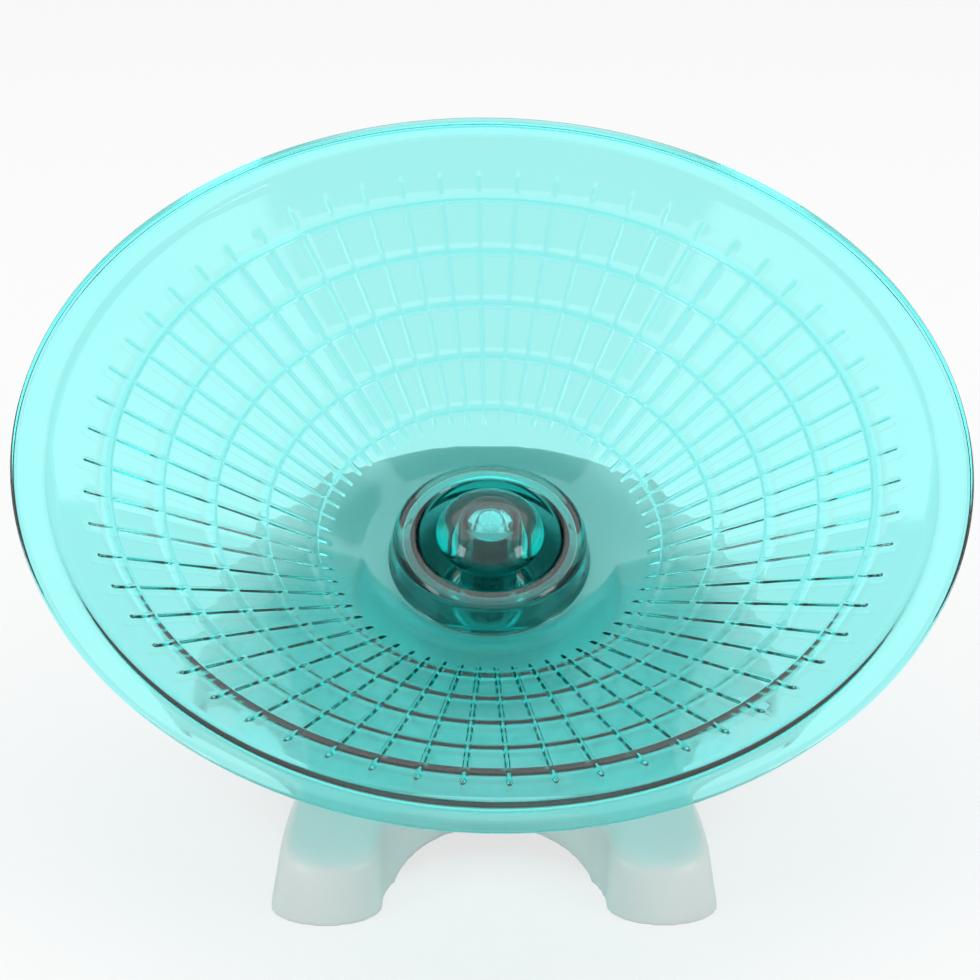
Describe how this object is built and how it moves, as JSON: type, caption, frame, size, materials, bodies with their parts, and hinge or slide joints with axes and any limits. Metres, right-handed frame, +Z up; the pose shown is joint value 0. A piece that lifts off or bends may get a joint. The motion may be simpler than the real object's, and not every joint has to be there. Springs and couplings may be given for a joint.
{
  "type": "flying saucer hamster wheel",
  "caption": "Flying saucer running wheel for a hamster: a tilted translucent dish with a raised grid, turning on a bearing over a white four-footed stand.",
  "frame": {"origin": "on the floor, below the centre of the rim of the saucer", "axes": "+X to the right, +Y to the back where the saucer is high, +Z up; the front, where the saucer is low, faces -Y"},
  "size_m": [0.18, 0.1638, 0.1101],
  "materials": {
    "saucer_plastic": "clear, tinted teal",
    "stand_plastic": "satin",
    "inner_plastic": "matt",
    "pin_steel": "ground",
    "bearing_steel": "polished"
  },
  "bodies": {
    "stand": {"base_shell": "stand_plastic", "axle": "pin_steel", "axle_clip": "pin_steel", "bearing_inner_ring": "bearing_steel", "bearing_spacer": "pin_steel"},
    "saucer": {"running_disc": "saucer_plastic", "hub_knob": "saucer_plastic", "neck_bush": "inner_plastic", "clip_washer": "pin_steel", "bearing_outer_ring": "bearing_steel", "bearing_shield_upper": "bearing_steel", "bearing_shield_lower": "bearing_steel", "bearing_balls": "bearing_steel", "bearing_cage": "inner_plastic"}
  },
  "joints": [
    {"name": "saucer_spin", "type": "hinge", "parent": "stand", "child": "saucer", "pos_m": [0, 0, 0.0727], "axis": [0, -0.4147, 0.91], "continuous": true}
  ]
}
